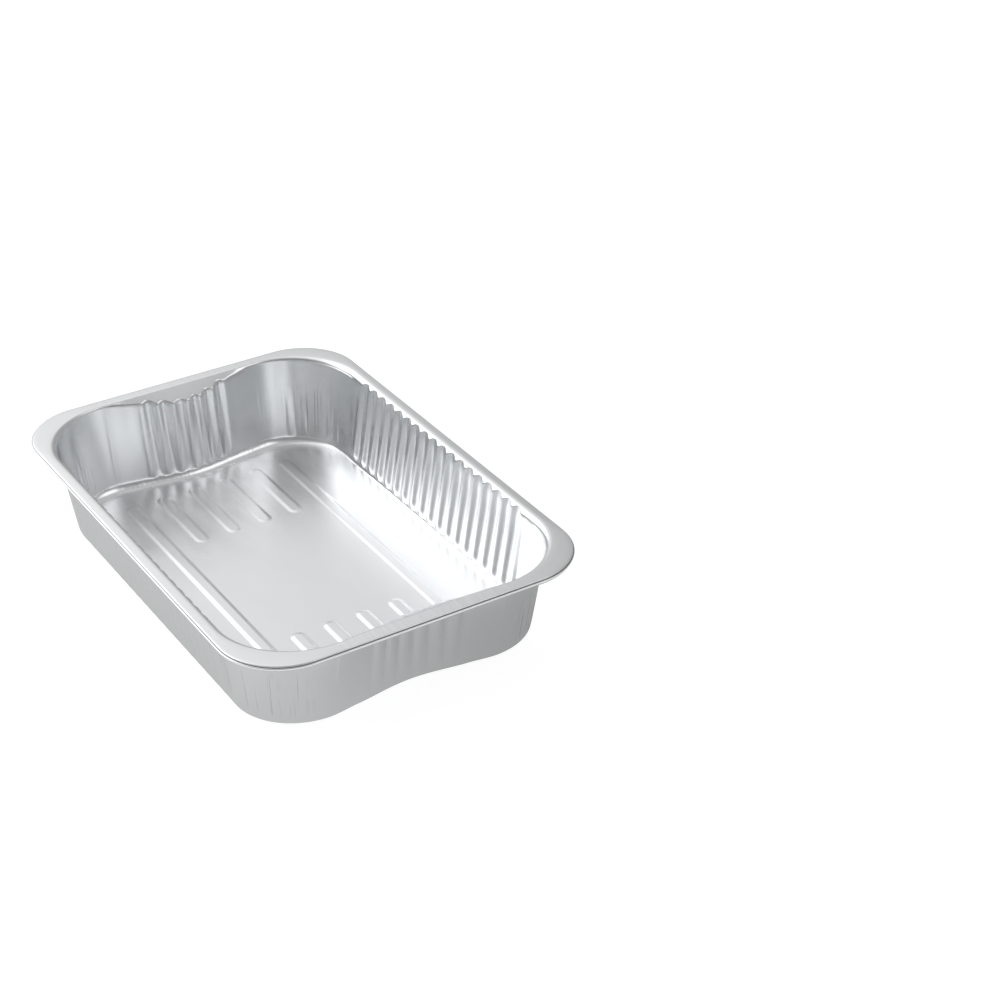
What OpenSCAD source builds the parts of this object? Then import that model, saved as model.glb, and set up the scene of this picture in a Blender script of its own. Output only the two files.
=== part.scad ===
// Foil roasting pan: one sheet of aluminium foil pressed into a deep rectangular pan.
// Millimetres. The pan stands on z = 0 with its middle on the z axis and its length along y.

/* [Rim] */
// Length over the rolled edge
rim_l = 360; // [330:1:400]
// Width over the rolled edge
rim_w = 245; // [225:1:270]
// Height from the table to the top of the flange
pan_h = 64.5; // [45:0.5:80]
// Corner radius of the rolled edge, seen from above
rim_r = 43.5; // [38:0.5:48]
// Radius of the rolled edge's round section
curl_r = 1.9; // [1.5:0.1:2.4]
// How far round the edge is rolled, in degrees
curl_turn = 290; // [200:5:320]
// Flange width at the long sides, rolled edge included
flange_side = 10.5; // [8:0.5:13]
// Flange width at the ends, rolled edge included
flange_end = 10; // [8:0.5:13]
// Radius of the bend between wall and flange
lip_r = 4; // [2:0.5:4.5]

/* [Walls] */
// Thickness of the foil
foil_t = 0.15; // [0.1:0.01:0.3]
// How far a long wall leans in between flange and floor
side_lean = 8.75; // [6:0.25:12]
// How far an end wall leans in between flange and floor
end_lean = 11.5; // [8:0.25:14]
// Corner radius of the opening, seen from above
open_r = 52; // [46:0.5:55]
// Corner radius of the base, seen from above
base_r = 44; // [38:0.5:48]
// Radius of the bend between an end wall and the floor
foot_r = 6; // [4:0.5:8]
// Radius of the bend between a long wall and the floor
side_foot_r = 2.5; // [1.5:0.5:4]
// Depth of the press creases in the lower corners
crease = 0.5; // [0:0.1:1]

/* [Flutes of the long walls] */
// Width of one flute
side_pitch = 11.6; // [10:0.1:14]
// Depth of a flute, from the ridges beside it to its middle
side_bulge = 2.4; // [1:0.1:3]
// Plain wall between the last flute and the corner of the opening
side_plain = 13; // [10:0.5:20]
// Plain wall between the flange's bend and the flutes' round tops
side_top = 0.5; // [0.2:0.1:4]
// Height of a flute's round top
side_arch = 4.5; // [2:0.5:5]

/* [Waisted ends] */
// Number of flutes in each waist
end_flutes = 6; // [4:2:8]
// Width of one flute
end_pitch = 10.7; // [9:0.1:11.5]
// Depth of a flute, from the ridges beside it to its middle
end_bulge = 3; // [1:0.1:4]
// Half the width of the waist
waist_half = 50; // [48:1:56]
// How far the waist is drawn in at its shelf
waist_top = 11.5; // [8:0.5:14]
// How far the waist is drawn in at the floor
waist_foot = 6.5; // [4:0.5:9]
// How far the shelf's inner edge lies below the flange
shelf_drop = 6.7; // [5:0.1:10]

/* [Floor ribs] */
// Width of a rib at the floor
rib_w = 10.4; // [8:0.2:12]
// Height of a rib
rib_h = 1.6; // [1:0.1:3]
// Width of a rib's sloping side
rib_slope = 3; // [1.5:0.1:3.6]
// Distance between the middles of two ribs
rib_pitch = 24; // [20:0.5:26]
// Length of the short ribs at each end of the floor
rib_l = 70; // [50:1:90]
// Distance from the ribs' ends to the foot of the end wall
rib_gap = 23.5; // [18:0.5:35]

/* [Hidden] */

// Half sizes of the opening and of the base
open_x = rim_w / 2 - flange_side;
open_y = rim_l / 2 - flange_end;
base_x = open_x - side_lean;
base_y = open_y - end_lean;

// Long walls: as many flutes as fit between the corners
side_flutes = floor(2 * (open_y - open_r - side_plain) / side_pitch);
side_half = side_flutes * side_pitch / 2;
end_half = end_flutes * end_pitch / 2;

// Steps across a flute, round a corner, from the outer flute to the edge of the waist, over the bend
// at the flange, round the roll, and round the roll up to its outermost point
flute_steps = 5;
corner_steps = 9;
flank_steps = 4;
lip_steps = 3;
curl_steps = 9;
curl_out = 3;

// Heights at which the long walls' flutes, the corners' creases and the waists' flutes start
press_foot = [1, 3.5, 4];
// Height over which a flute gets its full depth, and width over which a row runs out into plain wall
flute_fade = 2.5;
run_out = 5;
// Places of the bend's rings between floor and wall, as shares of its radius
foot_rings = [0.08, 0.22];
// The walls' slope, for the side on which the sheet's thickness lies
wall_slope = 90 - atan((side_lean + end_lean) / 2 / pan_h);

// Kinds of station round the pan, and the coarsest ring that a station still belongs to
SIDE = 0;
CORNER = 1;
END = 2;
FLUTE_ONLY = 0;
RIDGE = 1;
WAIST = 2;
EVERY = 3;

// A station is [kind, sign of x or y, place, sign of y, coarsest ring, place across the flute].
// The last is left out on plain wall.
function side_stations(sx) = [
    [SIDE, sx, -sx * (side_half + run_out), 0, RIDGE],
    for (i = [0:side_flutes * flute_steps])
        let (q = 2 * (i % flute_steps) / flute_steps - 1)
        [SIDE, sx, sx * (i / flute_steps * side_pitch - side_half), 0,
         i % flute_steps == 0 ? RIDGE : FLUTE_ONLY, q],
    [SIDE, sx, sx * (side_half + run_out), 0, RIDGE]
];

function flank(k) = end_half + (waist_half - end_half) * k / flank_steps;

function end_stations(sy) = [
    for (k = [flank_steps:-1:1]) [END, sy, sy * flank(k), 0, WAIST],
    for (i = [0:end_flutes * flute_steps])
        let (q = 2 * (i % flute_steps) / flute_steps - 1)
        [END, sy, sy * (end_half - i / flute_steps * end_pitch), 0,
         i % flute_steps == 0 ? WAIST : FLUTE_ONLY, q],
    for (k = [1:flank_steps]) [END, sy, -sy * flank(k), 0, WAIST]
];

// Every second station of a corner lies in a crease
function corner_stations(sx, sy, start) = [
    for (i = [0:2 * corner_steps])
        [CORNER, sx, start + 45 * i / corner_steps, sy,
         i % 2 == 0 ? EVERY : FLUTE_ONLY, i % 2 == 0 ? -1 : 0]
];

stations = concat(
    corner_stations(1, 1, 0), end_stations(1),
    corner_stations(-1, 1, 90), side_stations(-1),
    corner_stations(-1, -1, 180), end_stations(-1),
    corner_stations(1, -1, 270), side_stations(1)
);
count = len(stations);

// Place of a station on a rounded outline, and its direction outwards
function spot(s, x, y, r) =
    s[0] == SIDE ? [s[1] * x, s[2]] :
    s[0] == END ? [s[2], s[1] * y] :
    [s[1] * (x - r) + r * cos(s[2]), s[3] * (y - r) + r * sin(s[2])];
function outwards(s) =
    s[0] == SIDE ? [s[1], 0] :
    s[0] == END ? [0, s[1]] :
    [cos(s[2]), sin(s[2])];

function outwards_3(s) = [outwards(s)[0], outwards(s)[1], 0];

function mix(a, b, k) = a + (b - a) * k;
function unit(v) = v / norm(v);
function bend(a, corner, b, k) = mix(mix(a, corner, k), mix(corner, b, k), k);

// The waist is a smooth bell across each end
function waist(s) = s[0] == END && abs(s[2]) < waist_half
    ? (1 + cos(180 * s[2] / waist_half)) / 2 : 0;
// A flute is round across, and on the long walls it is round at its top
function across(s) = 1 - s[5] * s[5];
function arch(s) = s[0] != SIDE ? 0
    : is_undef(s[5]) ? side_arch
    : side_arch * (1 - sqrt(1 - s[5] * s[5]));

// How far the sheet is pressed outwards at a height. Low on a wall the ridges between its flutes
// stand in from it, and high up the flutes stand out from it.
function sunk(z) = 1 - z / pan_h;
function pressed(s, z) =
    is_undef(s[5]) ? 0 :
    s[0] == SIDE ? side_bulge * (across(s) - sunk(z)) :
    s[0] == END ? end_bulge * (across(s) - sunk(z) / 2) :
    -crease * across(s);

// Height of the wall's top at a station, below the flange or the shelf's inner edge
function wall_top(s) = s[0] == SIDE
    ? pan_h - lip_r - side_top - arch(s)
    : pan_h - lip_r - (shelf_drop - lip_r) * waist(s);

// The bend at the wall's foot: tight along the long walls, and wide round the ends
function foot(s) = s[0] == SIDE ? side_foot_r
    : s[0] == END ? foot_r
    : mix(foot_r, side_foot_r, cos(s[2]) * cos(s[2]));
function inset(s, z) = let (short = max(foot(s) - z, 0)) foot(s) - sqrt(foot(s) * foot(s) - short * short);
function foot_slope(s, z) = z < foot(s) ? acos(1 - z / foot(s)) : 90;

// A point on the wall's upper face at a height over the floor, with a share of its pressed relief
function drawn_in(s, z) = mix(waist_foot, waist_top, z / pan_h) * waist(s);
function wall_point(s, z, share) =
    let (p = mix(spot(s, base_x, base_y, base_r), spot(s, open_x, open_y, open_r), z / pan_h))
    let (q = p + outwards(s) * (share * pressed(s, z) - inset(s, z) - drawn_in(s, z)))
    [q[0], q[1], z + foil_t];

// The sheet's own direction downwards and outwards, at a slope from flat (0) to upright (90)
function below(s, slope) = outwards_3(s) * sin(slope) - [0, 0, cos(slope)];

// Edge of the opening at a station, and the sheet's slope on the way to it
function edge_point(s) = let (p = spot(s, open_x, open_y, open_r)) [p[0], p[1], pan_h];
function rise(s) =
    let (d = edge_point(s) - on_wall(s, 3, wall_top(s) - foil_t))
    atan2(d[2], d * outwards_3(s));
function tangent(s) = lip_r * tan(rise(s) / 2);
function lip_in(s) = edge_point(s)
    - tangent(s) * (outwards_3(s) * cos(rise(s)) + [0, 0, sin(rise(s))]);
function lip_out(s) = edge_point(s) + tangent(s) * outwards_3(s);

// Rolled edge: its middle line, and a point at an angle on its round section
function curl_point(s, a, r) =
    let (p = spot(s, rim_w / 2 - curl_r, rim_l / 2 - curl_r, rim_r - curl_r))
    [p[0], p[1], pan_h - curl_r] + r * (outwards_3(s) * cos(a) + [0, 0, sin(a)]);

function curl_angle(k) = k <= curl_out ? 90 - 90 * k / curl_out
    : (90 - curl_turn) * (k - curl_out) / (curl_steps - curl_out);

// Share of its relief that each kind of station has, at the four rings of the wall
relief_share = [[0, 0, 0], [1, 1, 1], [1, 0, 1], [0, 0, 1]];
function on_wall(s, ring, z) = wall_point(s, z, relief_share[ring][s[0]]);

// Rings of the sheet from the floor to the rolled edge: [upper point, towards the lower face]
function sheet_point(ring, s) =
    ring == 0 ? [wall_point(s, 0, 0), [0, 0, -1]] :
    ring < 3 ? let (z = foot(s) * foot_rings[ring - 1])
        [wall_point(s, z, 0), below(s, foot_slope(s, z))] :
    ring == 3 ? let (z = press_foot[s[0]]) [on_wall(s, 0, z), below(s, foot_slope(s, z))] :
    ring == 4 ? [on_wall(s, 1, press_foot[s[0]] + flute_fade), below(s, wall_slope)] :
    ring == 5 ? [on_wall(s, 2, wall_top(s) - flute_fade), below(s, wall_slope)] :
    ring == 6 ? [on_wall(s, 3, wall_top(s) - foil_t), below(s, (wall_slope + rise(s)) / 2)] :
    ring <= 7 + lip_steps ? let (k = (ring - 7) / lip_steps)
        [bend(lip_in(s), edge_point(s), lip_out(s), k), below(s, rise(s) * (1 - k))] :
    let (a = curl_angle(ring - 8 - lip_steps))
    [curl_point(s, a, curl_r), unit(curl_point(s, a, 0) - curl_point(s, a, 1))];

// Coarsest kind of station that each ring takes
ring_grade = concat(
    [WAIST, WAIST, RIDGE, FLUTE_ONLY, FLUTE_ONLY, FLUTE_ONLY, FLUTE_ONLY, RIDGE],
    [for (i = [1:lip_steps]) WAIST],
    [for (i = [0:curl_steps]) EVERY]
);
rings = len(ring_grade);

// For each grade: how many stations there are, and the nearest of them to every station
members = [for (g = [0:EVERY]) [for (i = [0:count - 1]) if (stations[i][4] >= g) i]];
function before(list, i) = len([for (m = list) if (m <= i) 1]) - 1;
function nearest(list, i) =
    let (a = before(list, i))
    let (b = (a + 1) % len(list))
    let (next = b == 0 ? count : list[b])
    2 * (i - list[a]) <= next - list[a] ? a : b;
near = [for (g = [0:EVERY]) [for (i = [0:count - 1]) nearest(members[g], i)]];

// First point of each ring in the list of points, for the upper face
function points_below(k) = k == 0 ? 0 : points_below(k - 1) + len(members[ring_grade[k - 1]]);
first = [for (k = [0:rings]) points_below(k)];
skin = first[rings];

sheet = [for (k = [0:rings - 1]) for (i = members[ring_grade[k]]) sheet_point(k, stations[i])];

// Triangles between two rings, walking round the stations
function band(a, b, ga, gb) = [
    for (i = [0:count - 1])
        let (j = (i + 1) % count)
        let (a0 = a + near[ga][i])
        let (a1 = a + near[ga][j])
        let (b0 = b + near[gb][i])
        let (b1 = b + near[gb][j])
        for (t = [if (a0 != a1) [a0, a1, b0], if (b0 != b1) [a1, b1, b0]]) t
];
function turned(faces) = [for (f = faces) [f[0], f[2], f[1]]];
function skin_faces(from) = [
    for (k = [0:rings - 2])
        for (t = band(from + first[k], from + first[k + 1], ring_grade[k], ring_grade[k + 1])) t
];

// Floor, walls, flange and rolled edge as one closed sheet, without the ribs
module plain_sheet() {
    upper = [for (p = sheet) p[0]];
    lower = [for (p = sheet) p[0] + foil_t * p[1]];
    floor_ring = [for (i = [0:first[1] - 1]) i];
    last = first[rings - 1];
    polyhedron(concat(upper, lower), concat(
        [[for (i = floor_ring) first[1] - 1 - i]],
        [[for (i = floor_ring) skin + i]],
        skin_faces(0),
        turned(skin_faces(skin)),
        band(last, skin + last, EVERY, EVERY)
    ));
}

// Solid of a rib with round ends and sloping sides, from y0 to y1
module rib_block(x, y0, y1, width, depth) {
    hull()
        for (y = [y0 + width / 2, y1 - width / 2])
            translate([x, y, -depth]) {
                cylinder(d = width, h = depth, $fn = 16);
                cylinder(d = width - 2 * rib_slope, h = depth + rib_h, $fn = 16);
            }
}

// All ribs of the floor, smaller all round by a margin: short ones at both ends, a long one
// along each side
module ribs(margin, depth) {
    far = base_y - rib_gap - margin;
    width = rib_w - 2 * margin;
    for (x = [-1.5:1.5])
        for (turn = [0, 180])
            rotate(turn)
                rib_block(x * rib_pitch, far - rib_l + 2 * margin, far, width, depth);
    for (x = [-2.5, 2.5])
        rib_block(x * rib_pitch, -far, far, width, depth);
}

// The ribs are raised from the floor and hollow below
module pan() {
    color("silver")
        difference() {
            union() {
                plain_sheet();
                translate([0, 0, foil_t]) ribs(0, foil_t / 2);
            }
            ribs(foil_t, 1);
        }
}

pan();
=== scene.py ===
import math

import bmesh
import bpy
import numpy as np
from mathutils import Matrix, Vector
from mathutils.geometry import delaunay_2d_cdt


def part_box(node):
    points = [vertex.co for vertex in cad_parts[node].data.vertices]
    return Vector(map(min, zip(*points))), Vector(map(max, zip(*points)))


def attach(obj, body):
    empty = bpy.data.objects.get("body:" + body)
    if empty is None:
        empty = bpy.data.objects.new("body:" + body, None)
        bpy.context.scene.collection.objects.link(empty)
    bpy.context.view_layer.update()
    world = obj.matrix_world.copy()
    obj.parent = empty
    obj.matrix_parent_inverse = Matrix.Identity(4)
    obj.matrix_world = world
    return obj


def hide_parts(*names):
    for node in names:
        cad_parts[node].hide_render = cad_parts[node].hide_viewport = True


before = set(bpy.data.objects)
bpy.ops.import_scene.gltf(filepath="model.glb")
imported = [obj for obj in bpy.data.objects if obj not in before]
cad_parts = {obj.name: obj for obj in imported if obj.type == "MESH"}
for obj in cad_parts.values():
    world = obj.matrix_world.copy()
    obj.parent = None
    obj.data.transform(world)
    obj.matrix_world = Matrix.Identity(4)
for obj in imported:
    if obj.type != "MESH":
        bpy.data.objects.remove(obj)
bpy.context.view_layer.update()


# The pressed tray, in millimetres.
# One sheet of aluminium foil is pressed into a deep tray in a single stroke: a flat floor, leaning walls,
# ends drawn in to a waist under a small sloping shelf, a flat flange, and an edge rolled under it.
MM = 0.001
HALF_WIDTH, HALF_LENGTH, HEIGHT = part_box("pan")[1] / MM
FOIL = 0.15
FLANGE_SIDE, FLANGE_END = 10.5, 10.0
OPEN_RADIUS = 52.0
LIP_RADIUS, SIDE_LIP_RADIUS = 2.0, 5.0
SIDE_LEAN, END_LEAN = 8.75, 11.5
BASE_RADIUS = 44.0
FOOT_RADIUS, SIDE_FOOT_RADIUS = 6.0, 2.5
FOOT_TURN = 70
WAIST_HALF, WAIST_TOP, WAIST_FOOT = 50.0, 10.3, 5.3
BELLY, BELLY_FULL, BELLY_END = 2.0, 40.0, 60.0
SHELF_DROP, SHELF_EDGE = 6.7, 1.0
FLUTES, FLUTE_WIDTH, FLUTE_BULGE, FLUTE_ROUNDNESS, FLUTE_THINNING = 18, 11.6, 2.4, 1.35, 0.32
WAIST_FLUTES, WAIST_FLUTE_WIDTH = 6, 10.7
OPEN = (HALF_WIDTH - FLANGE_SIDE, HALF_LENGTH - FLANGE_END, OPEN_RADIUS)
BASE = (OPEN[0] - SIDE_LEAN, OPEN[1] - END_LEAN, BASE_RADIUS)
FLUTE_STEPS, RUN_OUT_STEPS = 8, 4
CORNER_STEPS = 72
FLANK_END, FLANK_STEPS = 58.0, 13
WALL_SHARES = (0.02, 0.04, 0.06, 0.09, 0.13, 0.2, 0.3, 0.42, 0.54, 0.66, 0.77, 0.87, 0.94)


def row_places(flutes, width, reach, steps):
    """Places along a row of flutes, and a few more on either side of it."""
    half = flutes * width / 2
    beyond = np.linspace(half, reach, steps + 1)[1:]
    return [*-beyond[::-1], *np.linspace(-half, half, flutes * FLUTE_STEPS + 1), *beyond]


side_row = row_places(FLUTES, FLUTE_WIDTH, (FLUTES + 1) * FLUTE_WIDTH / 2, RUN_OUT_STEPS)
end_row = row_places(WAIST_FLUTES, WAIST_FLUTE_WIDTH, FLANK_END, FLANK_STEPS)


def side_stations(turn_x):
    return [("side", turn_x, 0, turn_x * along) for along in side_row]


def end_stations(turn_y):
    return [("end", 0, turn_y, -turn_y * along) for along in end_row]


def corner_stations(turn_x, turn_y, first):
    """Stations round a corner, each at its angle in degrees."""
    return [("corner", turn_x, turn_y, first + 90 * i / CORNER_STEPS) for i in range(CORNER_STEPS + 1)]


# The mesh is made of rings, and each ring has one point at every station round the pan
stations = [
    *corner_stations(1, 1, 0), *end_stations(1), *corner_stations(-1, 1, 90), *side_stations(-1),
    *corner_stations(-1, -1, 180), *end_stations(-1), *corner_stations(1, -1, 270), *side_stations(1)]
count = len(stations)
kind, turn_x, turn_y, place = (np.array(values) for values in zip(*stations))
on_side, on_end, on_corner = kind == "side", kind == "end", kind == "corner"
angle = np.radians(np.where(on_corner, place, 0))
outward = np.stack([
    np.where(on_corner, np.cos(angle), turn_x * on_side),
    np.where(on_corner, np.sin(angle), turn_y * on_end),
], axis=1)


def outline(half_x, half_y, radius):
    """The stations' places on a rounded outline."""
    x = np.where(on_side, turn_x * half_x, np.where(on_end, place, turn_x * (half_x - radius)))
    y = np.where(on_side, place, np.where(on_end, turn_y * half_y, turn_y * (half_y - radius)))
    return np.stack([x, y], axis=1) + np.where(on_corner, radius, 0)[:, None] * outward


def smooth(values, start, end):
    """0 before start, 1 after end, and smooth between them."""
    share = np.clip((values - start) / (end - start), 0, 1)
    return share * share * (3 - 2 * share)


sideways = np.where(on_side, 1, np.where(on_corner, np.cos(angle) ** 2, 0))
foot_radius = FOOT_RADIUS + (SIDE_FOOT_RADIUS - FOOT_RADIUS) * sideways
lip_radius = LIP_RADIUS + (SIDE_LIP_RADIUS - LIP_RADIUS) * sideways
in_waist = on_end & (abs(place) < WAIST_HALF)
waist = np.where(in_waist, (1 + np.cos(math.pi * place / WAIST_HALF)) / 2, 0)
belly = np.where(on_end, BELLY * (1 - smooth(abs(place), BELLY_FULL, BELLY_END)), 0)
open_edge, base_edge = outline(*OPEN), outline(*BASE)


def solid(flat, z):
    """A flat outline, set at a height."""
    return np.column_stack([flat, np.broadcast_to(z, len(flat))])


def wall_ring(z):
    """The wall's upper face at a height, with the bend at its foot and the waist drawn in."""
    share = z / HEIGHT
    flat = base_edge + (open_edge - base_edge) * share[:, None]
    short = np.clip(foot_radius - z, 0, None)
    bend = foot_radius - np.sqrt(foot_radius ** 2 - short ** 2)
    drawn_in = (WAIST_FOOT + (WAIST_TOP - WAIST_FOOT) * share) * waist + belly
    return solid(flat - outward * (bend + drawn_in)[:, None], z + FOIL)


def bent(before, corner, after, share):
    """A ring on the round bend from one ring to another, by the corner between them."""
    return (1 - share) ** 2 * before + 2 * share * (1 - share) * corner + share * share * after


def off_wall(ring):
    """How far a ring's points lie outside the wall's straight slope."""
    upright = base_edge + (open_edge - base_edge) * (ring[:, 2:] / HEIGHT)
    return ((ring[:, :2] - upright) * outward).sum(axis=1)


rings = []
carried = {"wall": [], "shelf": [], "climb": [], "bend": [], "crease": []}


def add_ring(ring, **values):
    """Adds a ring, with the values that its points carry for the pressing and the finish."""
    rings.append(ring)
    for name, ring_values in carried.items():
        ring_values.append(np.zeros(count) + values.get(name, 0))


wall_top = HEIGHT - lip_radius - (SHELF_DROP - lip_radius) * waist - FOIL
for turn in np.linspace(0, FOOT_TURN, 6):
    add_ring(wall_ring(foot_radius * (1 - math.cos(math.radians(turn)))), wall=1)
foot_top = rings[-1][:, 2] - FOIL
for share in WALL_SHARES:
    add_ring(wall_ring(foot_top + (wall_top - foot_top) * share), wall=1)

# From the wall's top a short shelf rises to the flange, with a round bend at either end of it. In the
# waist it is wide and slopes gently, and elsewhere it only goes on up the wall.
top_ring = wall_ring(wall_top)
edge_ring = solid(open_edge, HEIGHT)
shelf_way = edge_ring - top_ring
shelf_reach = np.linalg.norm(shelf_way, axis=1, keepdims=True)
shelf_way = shelf_way / shelf_reach
slope = np.arctan2(shelf_way[:, 2], (shelf_way[:, :2] * outward).sum(axis=1))
lip_reach = (lip_radius * np.tan(slope / 2))[:, None]
lip_start = edge_ring - lip_reach * shelf_way
lip_end = edge_ring + lip_reach * solid(outward, 0)
shelf_below = wall_ring(wall_top - SHELF_EDGE)
shelf_start = top_ring + shelf_way * np.minimum(SHELF_EDGE, 0.3 * shelf_reach)
climb = np.where(waist > 0, np.clip(np.tan(slope), 0, 2), 0)
room = np.where(waist > 0, 0.7 * ((lip_start - shelf_start)[:, :2] * outward).sum(axis=1), 0)


def lip(share):
    """The round bend from the shelf, or from a long wall, to the flange."""
    return bent(lip_start, edge_ring, lip_end, np.broadcast_to(share, count)[:, None])


# A long wall's flutes end in round tops that cut into this bend, each as far up as its bulge stands out
# from the bend. The rings there follow the line of the cut, so that it stays a sharp edge.
CUT_STEPS = 160
CUT_MARGIN = 2.4
across = (place / FLUTE_WIDTH + FLUTES / 2) % 1 * 2 - 1
flute_share = 1 - ((1 - np.cos(math.pi * across)) / 2) ** FLUTE_ROUNDNESS
fluted_here = on_side & (abs(place) < FLUTES * FLUTE_WIDTH / 2)
cut = np.zeros(count)
for share in np.linspace(0, 1, CUT_STEPS + 1):
    ring = lip(share)
    bulge = (flute_share - (1 - ring[:, 2] / HEIGHT)) * FLUTE_BULGE * (1 - FLUTE_THINNING)
    unbroken = cut >= share - 1.5 / CUT_STEPS
    cut = np.where(fluted_here & unbroken & (bulge > off_wall(ring)), share, cut)

below = lip_start - CUT_MARGIN * shelf_way
path_shares = np.linspace(0, 1, 40)
path = np.array([below + (lip_start - below) * share for share in path_shares]
                + [lip(cut * share) for share in path_shares[1:]])
path_steps = np.linalg.norm(np.diff(path, axis=0), axis=2)
walked = np.concatenate([np.zeros((1, count)), np.cumsum(path_steps, axis=0)])
edge_rings = [bent(shelf_below, top_ring, shelf_start, share) for share in (0.25, 0.5, 0.75, 1)]
shelf_rings = [shelf_start + (lip_start - shelf_start) * share for share in (1 / 3, 2 / 3)]
for k, ring in enumerate(edge_rings + shelf_rings):
    nearest = np.abs(walked - walked[-1] * k / 6).argmin(axis=0)
    ring = np.where(on_side[:, None], path[nearest, np.arange(count)], ring)
    add_ring(ring, wall=1, shelf=max(k - 3, 0) / 3 * on_end, climb=climb, bend=off_wall(ring) * on_side)
for share in np.linspace(0, 1, 9):
    ring = lip(cut + (1 - cut) * share)
    add_ring(ring, wall=1, shelf=1, bend=off_wall(ring))


# The flange and the rolled edge.
# The flange hangs a little outwards. Its edge is folded over and rolled under and back in, and a crease
# runs all round between the fold and the roll. Turns of the roll are in degrees from level.
RIM_RADIUS = 43.5
ROLL_RADIUS = 1.9
FLANGE_SAG = 0.3
CREASE_TURN, CREASE_WIDTH, CREASE_DEPTH = 40, 16, 0.36
ROLL_TURNS = [87, 79, 71, 63, 55, 48, 41, 34, 27, 20, 12, 3,
              -8, -22, -38, -56, -74, -92, -118, -144, -170, -198]
roll_line = outline(HALF_WIDTH - ROLL_RADIUS, HALF_LENGTH - ROLL_RADIUS, RIM_RADIUS - ROLL_RADIUS)


def crease_share(turn):
    return math.exp(-((turn - CREASE_TURN) / CREASE_WIDTH) ** 2)


def roll_ring(turn):
    way_out, way_up = math.cos(math.radians(turn)), math.sin(math.radians(turn))
    radius = ROLL_RADIUS * (1 - CREASE_DEPTH * crease_share(turn))
    return solid(roll_line + outward * radius * way_out, HEIGHT - FLANGE_SAG - ROLL_RADIUS + radius * way_up)


for share in (1 / 3, 2 / 3):
    add_ring(lip_end + (roll_ring(ROLL_TURNS[0]) - lip_end) * share)
for turn in ROLL_TURNS:
    add_ring(roll_ring(turn), crease=crease_share(turn))


# The floor.
# It lies inside the first ring, and is stiffened by two combs of four short ribs and by a long rib along
# either side. Its triangles close up round the ribs, and are wide on the flat between them.
RIB_WIDTH, RIB_PITCH, RIB_LENGTH, RIB_GAP = 10.4, 24.0, 70.0, 23.5
RIB_SLOPE = 2.4
RIB_FAR_END = BASE[1] - RIB_GAP
COMB_COLUMNS, LONG_RIB = (-1.5, -0.5, 0.5, 1.5), 2.5
FLOOR_GRID = 6.0
GRID_HALF_WIDTH, GRID_HALF_LENGTH = 90, 138
CLEAR_OF_RIB = 8
CLEAR_OF_CORNER = (84, 120)
rib_foot = RIB_WIDTH / 2
rib_top = rib_foot - RIB_SLOPE
rib_lines = (rib_top - 0.6, rib_top, (rib_top + rib_foot) / 2, rib_foot, rib_foot + 0.6, rib_foot + 1.6)


def rib_outline(column, y0, y1, half):
    """Points round a rib, at a distance from its middle line."""
    x, y0, y1 = column * RIB_PITCH, y0 + RIB_WIDTH / 2, y1 - RIB_WIDTH / 2
    half_turn = np.linspace(0, math.pi, 11)
    far_end = [(x + half * math.cos(a), y1 + half * math.sin(a)) for a in half_turn]
    near_end = [(x - half * math.cos(a), y0 - half * math.sin(a)) for a in half_turn]
    sides = [(x + side * half, y) for side in (-1, 1) for y in np.arange(y0, y1, 4.0)[1:]]
    return far_end + near_end + sides


floor_edge = rings[0][:, :2]
inner = []
for half in rib_lines:
    for column in COMB_COLUMNS:
        inner += rib_outline(column, RIB_FAR_END - RIB_LENGTH, RIB_FAR_END, half)
        inner += rib_outline(column, -RIB_FAR_END, RIB_LENGTH - RIB_FAR_END, half)
    for column in (-LONG_RIB, LONG_RIB):
        inner += rib_outline(column, -RIB_FAR_END, RIB_FAR_END, half)
for inset, every in ((1.2, 2), (3.2, 4)):
    inner += list(map(tuple, (floor_edge - outward * inset)[::every]))
for x in np.arange(-GRID_HALF_WIDTH, GRID_HALF_WIDTH + 1, FLOOR_GRID):
    for y in np.arange(-GRID_HALF_LENGTH, GRID_HALF_LENGTH + 1, FLOOR_GRID):
        column = round(abs(x) / RIB_PITCH - 0.5) + 0.5
        in_comb = column < LONG_RIB and abs(y) > RIB_FAR_END - RIB_LENGTH - 4
        beside = (column == LONG_RIB or in_comb) and abs(y) < RIB_FAR_END + 2
        near_rib = beside and abs(abs(x) - column * RIB_PITCH) < CLEAR_OF_RIB
        near_corner = abs(x) > CLEAR_OF_CORNER[0] and abs(y) > CLEAR_OF_CORNER[1]
        if not near_rib and not near_corner:
            inner.append((x, y))

flat_points = [Vector(point) for point in [*floor_edge, *inner]]
edge_loop = [(i, (i + 1) % count) for i in range(count)]
flat, _, triangles, origins, _, _ = delaunay_2d_cdt(flat_points, edge_loop, [], 1, 1e-4)
ring_count = count * len(rings)
index = []
floor_points = []
for point, origin in zip(flat, origins):
    first = min(origin) if origin else count
    if first < count:
        index.append(first)
    else:
        index.append(ring_count + len(floor_points))
        floor_points.append((point.x, point.y, FOIL))

faces = [tuple(index[v] for v in triangle) for triangle in triangles]
for k in range(len(rings) - 1):
    for i in range(count):
        j = (i + 1) % count
        faces.append((k * count + j, k * count + i, (k + 1) * count + i, (k + 1) * count + j))

points = np.vstack([*rings, floor_points])
sheet = bpy.data.meshes.new("pan_sheet")
sheet.from_pydata(points * MM, [], faces)


def carry(name, ring_values, floor_value=0.0):
    """Gives every point a value: one for each point of the rings, and one for the whole floor."""
    values = np.full(len(points), floor_value, np.float32)
    values[:ring_count] = np.broadcast_to(ring_values, (len(rings), count)).ravel()
    sheet.attributes.new(name, "FLOAT", "POINT").data.foreach_set("value", values)


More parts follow.
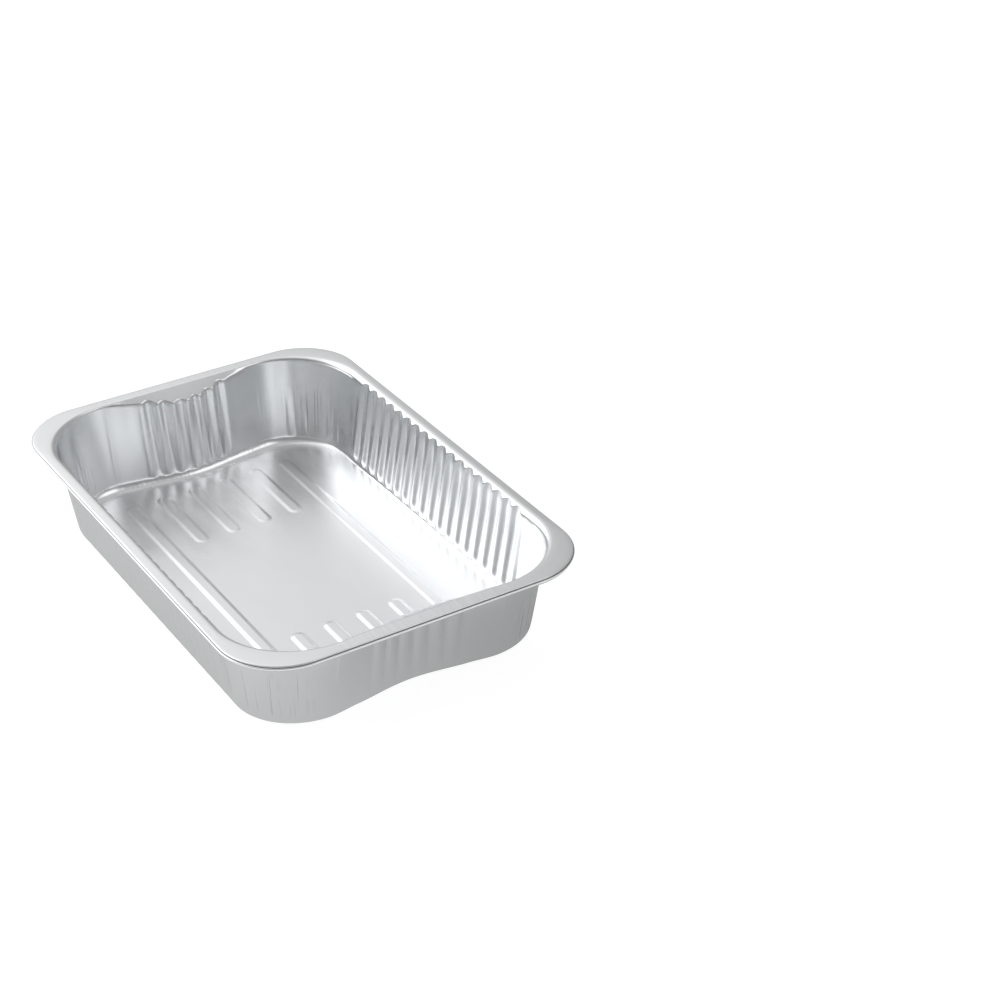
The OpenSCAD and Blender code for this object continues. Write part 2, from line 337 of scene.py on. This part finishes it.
ways = np.zeros((len(points), 3), np.float32)
ways[:ring_count, :2] = np.tile(outward, (len(rings), 1))
sheet.attributes.new("outward", "FLOAT_VECTOR", "POINT").data.foreach_set("vector", ways.ravel())
on_floor = np.zeros((len(rings), count))
on_floor[0] = 1
carry("floor", on_floor, 1.0)
carry("place", place)
carry("room", room)
carry("on_side", on_side)
carry("on_end", on_end)
carry("on_corner", on_corner)
for name, ring_values in carried.items():
    carry(name, ring_values)

pan = bpy.data.objects.new("pan_foil", sheet)
bpy.context.scene.collection.objects.link(pan)


# The pressed relief.
# The same stroke presses flutes into the walls, ribs into the floor, and wrinkles into the corners, where
# the foil has too much length. Thin foil that has been handled also has wide soft buckles.
class Wire:
    """A socket of a node tree. Its operators add Math nodes, and node() adds any other node."""

    def __init__(self, tree, socket=None):
        self.tree, self.socket = tree, socket

    def node(self, kind, settings=None, inputs=None, output=0):
        made = self.tree.nodes.new(kind)
        for name, value in (settings or {}).items():
            setattr(made, name, value)
        for key, value in (inputs or {}).items():
            if isinstance(value, Wire):
                self.tree.links.new(value.socket, made.inputs[key])
            else:
                made.inputs[key].default_value = value
        return Wire(self.tree, made.outputs[output]) if made.outputs else None

    def math(self, operation, *values):
        return self.node("ShaderNodeMath", {"operation": operation}, dict(enumerate(values)))

    def __add__(self, other):
        return self.math("ADD", self, other)

    def __radd__(self, other):
        return self.math("ADD", other, self)

    def __sub__(self, other):
        return self.math("SUBTRACT", self, other)

    def __rsub__(self, other):
        return self.math("SUBTRACT", other, self)

    def __mul__(self, other):
        return self.math("MULTIPLY", self, other)

    def __rmul__(self, other):
        return self.math("MULTIPLY", other, self)

    def __truediv__(self, other):
        return self.math("DIVIDE", self, other)

    def __pow__(self, other):
        return self.math("POWER", self, other)

    def __abs__(self):
        return self.math("ABSOLUTE", self)

    def floor(self):
        return self.math("FLOOR", self)

    def fract(self):
        return self.math("FRACT", self)

    def root(self):
        return self.math("SQRT", self)

    def cosine(self):
        return self.math("COSINE", self)

    def below(self, other):
        return self.math("LESS_THAN", self, other)

    def most(self, other):
        return self.math("MAXIMUM", self, other)

    def least(self, other):
        return self.math("MINIMUM", self, other)

    def step(self, start, end):
        """0 before start, 1 after end, and smooth between them."""
        inputs = {"Value": self, "From Min": start, "From Max": end}
        return self.node("ShaderNodeMapRange", {"interpolation_type": "SMOOTHSTEP"}, inputs)

    def vector(self, **axes):
        return self.node("ShaderNodeCombineXYZ", {}, axes)

    def noise(self, at, detail, scale=1.0, dimensions="3D"):
        inputs = {"Vector": at, "Scale": scale, "Detail": detail}
        return self.node("ShaderNodeTexNoise", {"noise_dimensions": dimensions}, inputs)


RELIEF_SIZES = {
    "Height": HEIGHT,
    "Wall flutes": FLUTES, "Wall flute width": FLUTE_WIDTH, "Wall flute bulge": FLUTE_BULGE,
    "Wall flute roundness": FLUTE_ROUNDNESS, "Wall flute thinning": FLUTE_THINNING,
    "Wall flute foot": 0.3, "Wall flute full": 8.0,
    "Waist flutes": WAIST_FLUTES, "Waist flute width": WAIST_FLUTE_WIDTH, "Waist flute bulge": 2.5,
    "Waist flute roundness": 1.6, "Waist flute foot": 3.5, "Waist flute full": 9.5,
    "Waist unevenness": 1.5,
    "Wrinkle depth": 0.95, "Wrinkle width": 2.2, "Wrinkle foot": 4.0, "Wrinkle full": 10.0,
    "Wrinkle top": 46.0,
    "Buckle depth": 0.12, "Buckle width": 24.0,
    "Rib width": RIB_WIDTH, "Rib pitch": RIB_PITCH, "Rib length": RIB_LENGTH,
    "Rib far end": RIB_FAR_END, "Rib height": 1.0, "Rib slope": RIB_SLOPE,
    "Floor unevenness": 0.4,
}
press = bpy.data.node_groups.new("pressed relief", "GeometryNodeTree")
press.interface.new_socket("Sheet", in_out="INPUT", socket_type="NodeSocketGeometry")
press.interface.new_socket("Sheet", in_out="OUTPUT", socket_type="NodeSocketGeometry")
press_inputs = {}
for name in RELIEF_SIZES:
    press_inputs[name] = press.interface.new_socket(name, in_out="INPUT", socket_type="NodeSocketFloat")
relief = Wire(press)
ingoing = relief.node("NodeGroupInput").socket.node
size = {name: Wire(press, ingoing.outputs[name]) for name in RELIEF_SIZES}


def stored(name, of="FLOAT"):
    return relief.node("GeometryNodeInputNamedAttribute", {"data_type": of}, {"Name": name})


position = relief.node("GeometryNodeInputPosition")
parts = relief.node("ShaderNodeSeparateXYZ", {}, {0: position}).socket.node
x, y, z = [Wire(press, part) / MM for part in parts.outputs]
along = stored("place")


def fluted(row):
    """The share of a flute's bulge at a place, and 1 inside the row but 0 outside."""
    number = size[row + " flutes"]
    flute_at = along / size[row + " flute width"] + number * 0.5
    off_middle = abs(flute_at - number * 0.5)
    hollow = (1.0 - ((flute_at.fract() * 2.0 - 1.0) * math.pi).cosine()) * 0.5
    bulge_share = off_middle.below(number * 0.5) * (1.0 - hollow ** size[row + " flute roundness"])
    return bulge_share, 1.0 - off_middle.step(number * 0.5, number * 0.5 + 0.4)


# Low on a long wall the ridges between the flutes stand in from it. High up the flutes bulge out of it,
# and run out in round tops where they meet the bend of the lip.
bulge_share, in_row = fluted("Wall")
sunk = (1.0 - z / size["Height"]).most(0.0)
thinned = 1.0 - size["Wall flute thinning"] * z.step(size["Height"] - 20.0, size["Height"] - 5.0)
flute = (bulge_share - sunk * in_row) * size["Wall flute bulge"] \
    * z.step(size["Wall flute foot"], size["Wall flute full"]) * thinned
lip_bend = stored("bend")
past_lip = (flute - lip_bend).most(0.0) + flute.least(0.0) * (1.0 - lip_bend.step(0.0, 0.4))
side_out = stored("on_side") * past_lip

# The waist's flutes are uneven, and cut into the shelf: its edge slides up along it as far as they bulge
bulge_share, in_row = fluted("Waist")
pleat = relief.noise(relief.vector(X=along * 0.3 + y * 0.1, Y=z * 0.02), 1.0, dimensions="2D")
pleated = bulge_share * size["Waist flute bulge"] + (pleat - 0.5) * in_row * size["Waist unevenness"]
ridge = sunk * 0.3 * in_row * size["Waist flute bulge"]
end_out = stored("on_end") * (1.0 - stored("shelf")) \
    * z.step(size["Waist flute foot"], size["Waist flute full"]) \
    * (pleated.least(stored("room")) * (1.0 - sunk * 0.6) - ridge)

# Wrinkles: uneven upright folds in the middle of each corner, which die out towards its top
quarter = along / 90.0
fold_at = relief.vector(X=along * 0.83 / size["Wrinkle width"], Y=quarter.floor() * 40.0, Z=z * 0.006)
fold = relief.noise(fold_at, 0.0)
fold_top = size["Wrinkle top"] * (relief.noise(fold_at, 0.0, 0.6) * 1.4 + 0.1)
wrinkled = (1.0 - z.step(fold_top * 0.4, fold_top)) * z.step(size["Wrinkle foot"], size["Wrinkle full"]) \
    * (1.0 - abs(quarter.fract() - 0.5).step(0.22, 0.45))
corner_out = stored("on_corner") * wrinkled * (fold - 0.5) * 2.0 * size["Wrinkle depth"]

# Buckles: they leave out the foot and the lip, which are stiff
buckle_at = relief.vector(X=x / size["Buckle width"], Y=y / size["Buckle width"], Z=z * 0.02)
buckle_out = (relief.noise(buckle_at, 1.0) - 0.5) * 2.0 * size["Buckle depth"] * z.step(2.0, 12.0) \
    * (1.0 - z.step(size["Height"] - 14.0, size["Height"] - 5.0))

# Ribs: short ones in two combs, and a long one along either side. They are lower at the far end.
rib_column = abs(x / size["Rib pitch"]).floor().least(2.0) + 0.5
off_x = abs(abs(x) - rib_column * size["Rib pitch"])
rib_half = size["Rib width"] * 0.5
beyond = (abs(y) - (size["Rib far end"] - rib_half)).most(0.0)
before = (size["Rib far end"] - size["Rib length"] + rib_half - abs(y)).most(0.0) * rib_column.below(2.0)
off_y = beyond.most(before)
off_rib = (off_x * off_x + off_y * off_y).root()
rib = ((rib_half - off_rib) / size["Rib slope"]).least(1.0).most(0.0) * size["Rib height"] \
    * (1.0 - y.step(-10.0, 90.0) * 0.45)
uneven = relief.noise(relief.vector(X=x * 0.045, Y=y * 0.02), 3.0)
floor_up = stored("floor") * (rib + uneven * size["Floor unevenness"])

push = relief.node("ShaderNodeVectorMath", {"operation": "SCALE"}, {
    0: stored("outward", "FLOAT_VECTOR"),
    "Scale": stored("wall") * (side_out + end_out + corner_out + buckle_out) * MM})
lift = relief.vector(Z=(floor_up + end_out * stored("climb")) * MM)
offset = relief.node("ShaderNodeVectorMath", {"operation": "ADD"}, {0: push, 1: lift})
moved = relief.node("GeometryNodeSetPosition", {}, {
    "Geometry": Wire(press, ingoing.outputs["Sheet"]), "Offset": offset})
real = relief.node("GeometryNodeRealizeInstances", {}, {"Geometry": moved})


# The foil's finish.
# Bright soft aluminium with fine rolling lines along the sheet, a duller and grainier floor, and small
# scuffs. Nothing is printed on it, but shade is painted into its colour in a few places.
FOIL_COLOUR = (0.933, 0.945, 0.955, 1.0)
SHADE_COLOUR = (0.04, 0.042, 0.045, 1.0)
foil = bpy.data.materials.new("foil")
foil.use_nodes = True
foil.node_tree.nodes.clear()
shade = Wire(foil.node_tree)
here = shade.node("ShaderNodeTexCoord", output=3)


def toward(wire, at, direction):
    """How far a point or a direction reaches the given way."""
    return wire.node("ShaderNodeVectorMath", {"operation": "DOT_PRODUCT"}, {0: at, 1: direction}, output=1)


def read(name):
    return shade.node("ShaderNodeAttribute", {"attribute_name": name}, output=2)


def speckle(scale, detail, stretch=(1, 1, 1)):
    at = shade.node("ShaderNodeMapping", {}, {"Vector": here, "Scale": stretch})
    return shade.noise(at, detail, scale)


rolling = speckle(900.0, 2.0, (1, 0.03, 1))
grain = speckle(1500.0, 2.0)
cloud = speckle(25.0, 3.0)
smudge = speckle(60.0, 4.0, (1, 0.35, 1))
patch = speckle(1.0, 0.0, (120.0, 120.0, 60.0))
smear = speckle(1.0, 3.0, (75.0, 22.0, 1.0))
floor_mask, corner_mask, end_mask = read("floor"), read("on_corner"), read("on_end")
height_up = toward(shade, here, (0, 0, 1 / MM))
round_pan = read("place")

# Fine folds in the middle of each corner, between the wrinkles of the relief
crinkle = shade.noise(shade.vector(X=round_pan * 0.4, Z=height_up * 0.005), 0.0)
crinkled = corner_mask * height_up.step(5.0, 14.0) * (1.0 - height_up.step(30.0, 50.0)) \
    * (1.0 - abs((round_pan / 90.0).fract() - 0.5).step(0.22, 0.45))

# Painted shade: the rolled edge's crease, folds in the corners, the floor's far half, and a little on all
# but the floor
# painted shade in the crease of the rolled edge, stronger towards the front
front = toward(shade, here, (0.6, -0.8, 0)).step(-0.05, 0.09)
crease_shade = read("crease").step(0.15, 0.9) * (0.6 + front * 0.3)
# painted shade over the floor's far half, darker in streaks
far_half = toward(shade, here, (-0.3, 1, 0)).step(0.02, 0.13)
far_floor_shade = floor_mask * far_half * (0.08 + smear.step(0.35, 0.75) * 0.16)
# painted shade along the fine folds in the corners
fold_shade = crinkled * (1.0 - abs(crinkle - 0.36).step(0.006, 0.035)) * patch.step(0.3, 0.45) * 0.36
# a little painted shade on all but the floor, so that the floor looks more brightly lit
dark = crease_shade.most(far_floor_shade).most(fold_shade).most((1.0 - floor_mask) * 0.04)
colour = shade.node("ShaderNodeMix", {"data_type": "RGBA"}, {
    0: dark, 6: FOIL_COLOUR, 7: SHADE_COLOUR}, output=2)

roughness = 0.17 + (corner_mask + end_mask) * 0.07 + floor_mask * (0.15 + (smudge - 0.5) * 0.2) \
    + (cloud - 0.5) * 0.08 + (grain - 0.5) * 0.05
scratches = rolling * 0.35 + grain * (0.25 + floor_mask * 0.9) + cloud * 0.5 + smudge * floor_mask \
    + crinkle * (crinkled * 5.0 + end_mask * 2.0)
bump = shade.node("ShaderNodeBump", {}, {"Height": scratches, "Strength": 0.25, "Distance": 0.00015})
surface = shade.node("ShaderNodeBsdfPrincipled", {}, {
    "Base Color": colour, "Metallic": 1.0, "Roughness": roughness, "Normal": bump})
shade.node("ShaderNodeOutputMaterial", {}, {"Surface": surface})

finished = relief.node("GeometryNodeSetMaterial", {}, {"Geometry": real, "Material": foil})
relief.node("NodeGroupOutput", {}, {0: finished})

pressing = pan.modifiers.new("pressed relief", "NODES")
pressing.node_group = press
for name, value in RELIEF_SIZES.items():
    pressing[press_inputs[name].identifier] = float(value)
gauge = pan.modifiers.new("foil gauge", "SOLIDIFY")
gauge.thickness = FOIL * MM
gauge.offset = -1
evaluated = pan.evaluated_get(bpy.context.evaluated_depsgraph_get())
pressed = bpy.data.meshes.new_from_object(evaluated)
pressed.shade_smooth()
pan.modifiers.clear()
pan.data = pressed

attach(pan, "root")
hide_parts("pan")


# The camera: the photograph's view of the pan.
# Angles in degrees, and lengths in millimetres from the pan's middle on the table.
CAMERA_TURN, CAMERA_TILT, CAMERA_ROLL = -32.378, 31.363, -0.263
CAMERA_AWAY = 1585.07
CAMERA_AIM = (163.3, 2.75, 0)
LENS_IN_PICTURE_WIDTHS = 2.24951
scene = bpy.context.scene
camera_data = bpy.data.cameras.new("camera")
camera_data.sensor_width = 36.0
camera_data.lens = LENS_IN_PICTURE_WIDTHS * camera_data.sensor_width
camera_data.clip_end = 50.0
camera = bpy.data.objects.new("camera", camera_data)
turn, tilt = math.radians(CAMERA_TURN), math.radians(CAMERA_TILT)
forward = Vector((-math.sin(turn) * math.cos(tilt), math.cos(turn) * math.cos(tilt), -math.sin(tilt)))
camera.location = (Vector(CAMERA_AIM) - forward * CAMERA_AWAY) * MM
camera.rotation_euler = forward.to_track_quat("-Z", "Y").to_euler()
camera.rotation_euler.rotate_axis("Z", math.radians(CAMERA_ROLL))
scene.collection.objects.link(camera)
bpy.context.scene.camera = camera
scene.view_settings.view_transform = "Standard"


# The light tent.
# A pale cloth tent stands round the table, and the foil mirrors it. Each of its panels has the way that
# it lies, the cosines at its soft edge and at its core, and how much brighter than the cloth it is.
TENT_RADIUS = 3.0
CLOTH = 0.385
BACK_GLOW = (-0.35, 0.75, 0.56), 0.44, 0.86, 0.47
BACK_PANEL = (-0.52, 0.72, 0.45), 0.72, 0.94, 0.9
FRONT_PANEL = (0.46, -0.50, 0.70), 0.93, 0.985, 0.9
ROOF = (0, 0, 1), 0.66, 0.92, 0.12
DULL_FRONT = (-0.30, -0.90, 0.30), 0.25, 0.9, -0.12
HORIZON = 0.4


def glow(name, build):
    """A material that only glows, as brightly as build says."""
    material = bpy.data.materials.new(name)
    material.use_nodes = True
    material.node_tree.nodes.clear()
    wire = Wire(material.node_tree)
    light = wire.node("ShaderNodeEmission", {}, {"Color": build(wire)})
    wire.node("ShaderNodeOutputMaterial", {}, {"Surface": light})
    material.cycles.emission_sampling = "NONE"
    return material


def tent_light(wire):
    """The cloth and its panels, which fade out into an even grey just over the table."""
    at = wire.node("ShaderNodeTexCoord", output=3)
    way = wire.node("ShaderNodeVectorMath", {"operation": "NORMALIZE"}, {0: at})
    rise = toward(wire, way, (0, 0, 1))

    def panel(direction, edge, core, strength):
        return toward(wire, way, Vector(direction).normalized()).step(edge, core) * strength

    cloth = CLOTH + panel(*BACK_GLOW) * rise.step(0.08, 0.4)
    for further in (ROOF, FRONT_PANEL, BACK_PANEL, DULL_FRONT):
        cloth = cloth + panel(*further)
    return HORIZON + (cloth - HORIZON) * rise.step(-0.02, 0.1)


def stage_mesh(name, make, material, **sizes):
    """A mesh of the stage, made by one of bmesh's own shapes."""
    shape = bmesh.new()
    make(shape, **sizes)
    mesh = bpy.data.meshes.new(name)
    shape.to_mesh(mesh)
    shape.free()
    mesh.materials.append(material)
    made = bpy.data.objects.new(name, mesh)
    scene.collection.objects.link(made)
    return made


tent = stage_mesh("tent", bmesh.ops.create_icosphere, glow("tent light", tent_light),
                  subdivisions=5, radius=TENT_RADIUS)
tent.visible_camera = False
tent.visible_shadow = False


# The table.
# A white table with a glowing card on it that only the foil mirrors. The card's glow has a painted shadow
# of the pan close to it, grey and lighter on the left, is white further out, and dark at its far edge.
# Distances from the pan's foot are in metres.
TABLE_HALF, CARD_HALF = 2.9, 1.2
SHADE_START, SHADE_END = 0.045, 0.085
EDGE_START, EDGE_END = 0.2, 0.45


def card_light(wire):
    at = wire.node("ShaderNodeTexCoord", output=3)
    beyond_x = abs(toward(wire, at, (1, 0, 0))) - BASE[0] * MM
    beyond_y = abs(toward(wire, at, (0, 1, 0))) - BASE[1] * MM
    away = (beyond_x.most(0.0) ** 2.0 + beyond_y.most(0.0) ** 2.0).root()
    # painted shadow of the pan, lighter on the left
    shaded = 0.272 + toward(wire, at, (-1, 0.15, 0)).step(-0.12, 0.15) * 0.24
    lit = shaded + (1.0 - shaded) * away.step(SHADE_START, SHADE_END)
    return 0.05 + lit * (1.0 - away.step(EDGE_START, EDGE_END) * 0.9)


card = stage_mesh("table_card", bmesh.ops.create_grid, glow("table card", card_light),
                  x_segments=1, y_segments=1, size=CARD_HALF)
card.location.z = -0.0004
card.visible_camera = False
card.visible_shadow = False
card.visible_diffuse = False

table_paint = bpy.data.materials.new("white table")
table_paint.use_nodes = True
table_paint.node_tree.nodes.clear()
paint = Wire(table_paint.node_tree)
cover = paint.node("ShaderNodeBsdfDiffuse", {}, {"Color": (0.4, 0.4, 0.4, 1)})
fill = paint.node("ShaderNodeEmission", {}, {"Strength": 0.82})
both = paint.node("ShaderNodeAddShader", {}, {0: cover, 1: fill})
paint.node("ShaderNodeOutputMaterial", {}, {"Surface": both})
table = stage_mesh("floor", bmesh.ops.create_grid, table_paint, x_segments=1, y_segments=1, size=TABLE_HALF)
table.location.z = -0.001


# The room's light and the softbox.
# The air is white where it is seen, and gives the foil and the table an even light. One softbox, high
# behind the pan on the left, gives the table its faint shadow.
world = bpy.data.worlds.new("studio air")
scene.world = world
world.use_nodes = True
world.node_tree.nodes.clear()
air = Wire(world.node_tree)
seen = air.node("ShaderNodeLightPath", output="Is Camera Ray") \
    .most(air.node("ShaderNodeLightPath", output="Is Glossy Ray")) \
    .most(air.node("ShaderNodeLightPath", output="Is Transmission Ray"))
light = air.node("ShaderNodeBackground", {}, {"Color": 0.64 + seen * 0.36})
air.node("ShaderNodeOutputWorld", {}, {"Surface": light})

softbox_data = bpy.data.lights.new("softbox", "AREA")
softbox_data.shape = "RECTANGLE"
softbox_data.size, softbox_data.size_y = 1.2, 0.8
softbox_data.energy = 1.0
softbox = bpy.data.objects.new("softbox", softbox_data)
softbox.location = (-1.3, 1.1, 1.2)
softbox.rotation_euler = (-softbox.location).to_track_quat("-Z", "Y").to_euler()
scene.collection.objects.link(softbox)

bpy.context.view_layer.update()
